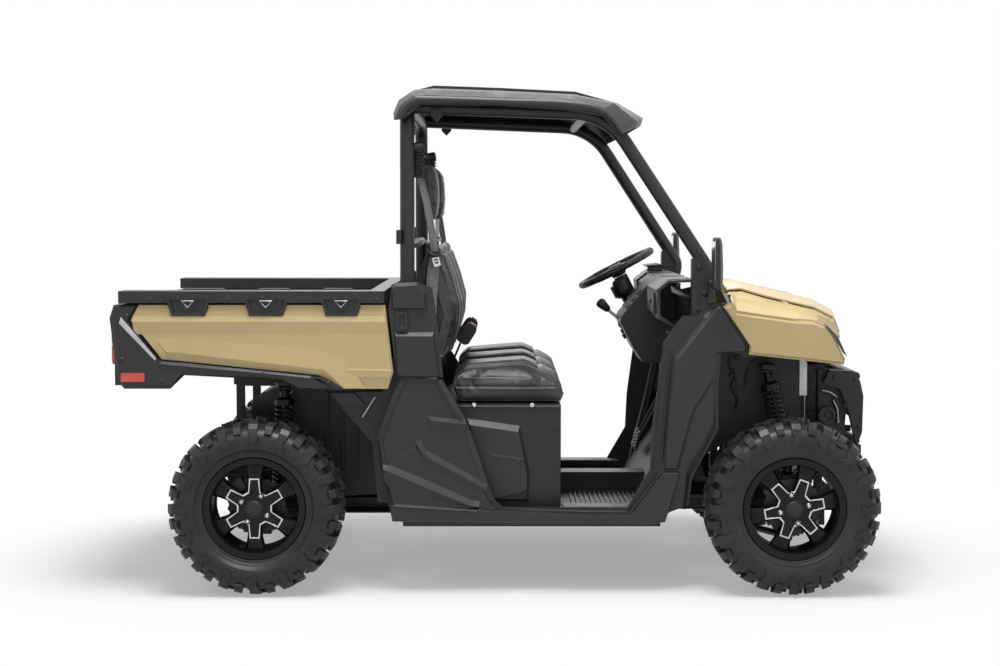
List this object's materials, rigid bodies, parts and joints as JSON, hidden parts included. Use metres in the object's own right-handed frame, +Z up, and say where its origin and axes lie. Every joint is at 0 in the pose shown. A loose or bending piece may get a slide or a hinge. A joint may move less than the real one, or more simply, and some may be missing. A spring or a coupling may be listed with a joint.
{
  "type": "side by side utv",
  "caption": "Open side by side utility vehicle with a bench seat, roof frame, tipping cargo bed, opening hood and four lugged tyres.",
  "frame": {"origin": "on the ground, at the middle of the vehicle's length and width", "axes": "+X forward, +Y to the vehicle's left, +Z up"},
  "size_m": [2.972, 1.76, 1.9592],
  "materials": {
    "tan_panel": "satin moulded paint",
    "dark_plastic": "fine grained moulded plastic",
    "black_steel": "satin powder coat",
    "vinyl": "grained vinyl with sewn channels",
    "tyre": "matte rubber",
    "alloy": "gloss black with machined edges",
    "cast": "as cast",
    "steel": "plain steel",
    "aluminium": "plain",
    "lamp_clear": "clear lens",
    "lamp_red": "red lens"
  },
  "bodies": {
    "chassis": {"frame_front": "black_steel", "frame_middle": "black_steel", "frame_rear": "black_steel", "skid_plates": "dark_plastic", "hitch": "black_steel", "driveline": "cast", "front_arms": "black_steel", "rear_arms": "black_steel", "shocks": "steel", "engine": "cast", "muffler": "steel", "radiator": "aluminium", "rack_housing": "aluminium", "cab_frame": "black_steel", "roof": "dark_plastic", "floor": "dark_plastic", "seat_base": "dark_plastic", "seat_cushion": "vinyl", "seat_back": "vinyl", "headrests": "vinyl", "quarter_panels": "dark_plastic", "pillar_covers": "dark_plastic", "cowl_sides": "dark_plastic", "fenders": "tan_panel", "fascia": "dark_plastic", "headlamps": "lamp_clear", "bumper": "black_steel", "dashboard": "dark_plastic", "pedals": "steel", "mirror_feet": "dark_plastic"},
    "hood": {"hood": "tan_panel"},
    "steering_column": {"steering_column": "black_steel"},
    "steering_wheel": {"steering_wheel": "dark_plastic"},
    "tie_rack": {"tie_rods": "steel"},
    "knuckle_left": {"knuckle_left": "cast"},
    "knuckle_right": {"knuckle_right": "cast"},
    "bed": {"bed_tub": "dark_plastic", "bed_sides": "tan_panel", "bed_corners": "dark_plastic", "bed_rails": "dark_plastic", "tail_lamps": "lamp_red"},
    "tailgate": {"tailgate": "dark_plastic"},
    "strut_barrel": {"strut_barrel": "black_steel"},
    "strut_rod": {"strut_rod": "steel"},
    "mirror_left": {"mirror_left": "dark_plastic"},
    "mirror_right": {"mirror_right": "dark_plastic"},
    "wheel_front_left": {"tyre_front_left": "tyre", "rim_front_left": "alloy"},
    "wheel_front_right": {"tyre_front_right": "tyre", "rim_front_right": "alloy"},
    "wheel_rear_left": {"tyre_rear_left": "tyre", "rim_rear_left": "alloy"},
    "wheel_rear_right": {"tyre_rear_right": "tyre", "rim_rear_right": "alloy"}
  },
  "joints": [
    {"name": "steer_left", "type": "hinge", "parent": "chassis", "child": "knuckle_left", "pos_m": [1.117, 0.615, 0.336], "axis": [0, 0, 1], "range_deg": [-30, 30]},
    {"name": "steer_right", "type": "hinge", "parent": "chassis", "child": "knuckle_right", "pos_m": [1.117, -0.615, 0.336], "axis": [0, 0, 1], "range_deg": [-30, 30]},
    {"name": "spin_front_left", "type": "hinge", "parent": "knuckle_left", "child": "wheel_front_left", "pos_m": [1.117, 0.695, 0.336], "axis": [0, 1, 0], "continuous": true},
    {"name": "spin_front_right", "type": "hinge", "parent": "knuckle_right", "child": "wheel_front_right", "pos_m": [1.117, -0.695, 0.336], "axis": [0, 1, 0], "continuous": true},
    {"name": "spin_rear_left", "type": "hinge", "parent": "chassis", "child": "wheel_rear_left", "pos_m": [-0.933, 0.67, 0.336], "axis": [0, 1, 0], "continuous": true},
    {"name": "spin_rear_right", "type": "hinge", "parent": "chassis", "child": "wheel_rear_right", "pos_m": [-0.933, -0.67, 0.336], "axis": [0, 1, 0], "continuous": true},
    {"name": "rack_slide", "type": "slide", "parent": "chassis", "child": "tie_rack", "axis": [0, 1, 0], "range_m": [-0.0405, 0.0405]},
    {"name": "column_tilt", "type": "hinge", "parent": "chassis", "child": "steering_column", "pos_m": [0.63258, 0.36, 0.97343], "axis": [0, 1, 0], "range_deg": [-6, 12]},
    {"name": "steering_wheel_spin", "type": "hinge", "parent": "steering_column", "child": "steering_wheel", "pos_m": [0.51, 0.36, 1.214], "axis": [-0.454, 0, 0.891], "range_deg": [-271, 271]},
    {"name": "hood_lift", "type": "hinge", "parent": "chassis", "child": "hood", "pos_m": [0.884, 0, 1.14], "axis": [0, -1, 0], "range_deg": [0, 50]},
    {"name": "bed_tilt", "type": "hinge", "parent": "chassis", "child": "bed", "pos_m": [-1.057, 0, 0.79], "axis": [0, -1, 0], "range_deg": [0, 45]},
    {"name": "tailgate_drop", "type": "hinge", "parent": "bed", "child": "tailgate", "pos_m": [-1.458, 0, 0.846], "axis": [0, -1, 0], "range_deg": [0, 90]},
    {"name": "strut_swing", "type": "hinge", "parent": "chassis", "child": "strut_barrel", "pos_m": [-0.86, 0.29, 0.54], "axis": [0, -1, 0], "range_deg": [0, 21.5]},
    {"name": "strut_extend", "type": "slide", "parent": "strut_barrel", "child": "strut_rod", "axis": [0.3347, 0, 0.9423], "range_m": [0, 0.1835]},
    {"name": "mirror_left_fold", "type": "hinge", "parent": "chassis", "child": "mirror_left", "pos_m": [0.806, 0.7, 1.16], "axis": [0, 0, 1], "range_deg": [-60, 75]},
    {"name": "mirror_right_fold", "type": "hinge", "parent": "chassis", "child": "mirror_right", "pos_m": [0.806, -0.7, 1.16], "axis": [0, 0, -1], "range_deg": [-60, 75]}
  ],
  "couplings": [
    {"joint": "steer_right", "follows": "steer_left", "ratio": 1},
    {"joint": "rack_slide", "follows": "steer_left", "m_per_rad": -0.07639},
    {"joint": "steering_wheel_spin", "follows": "steer_left", "ratio": 9},
    {"joint": "strut_swing", "follows": "bed_tilt", "ratio": 0.473},
    {"joint": "strut_extend", "follows": "bed_tilt", "m_per_rad": 0.2328}
  ]
}
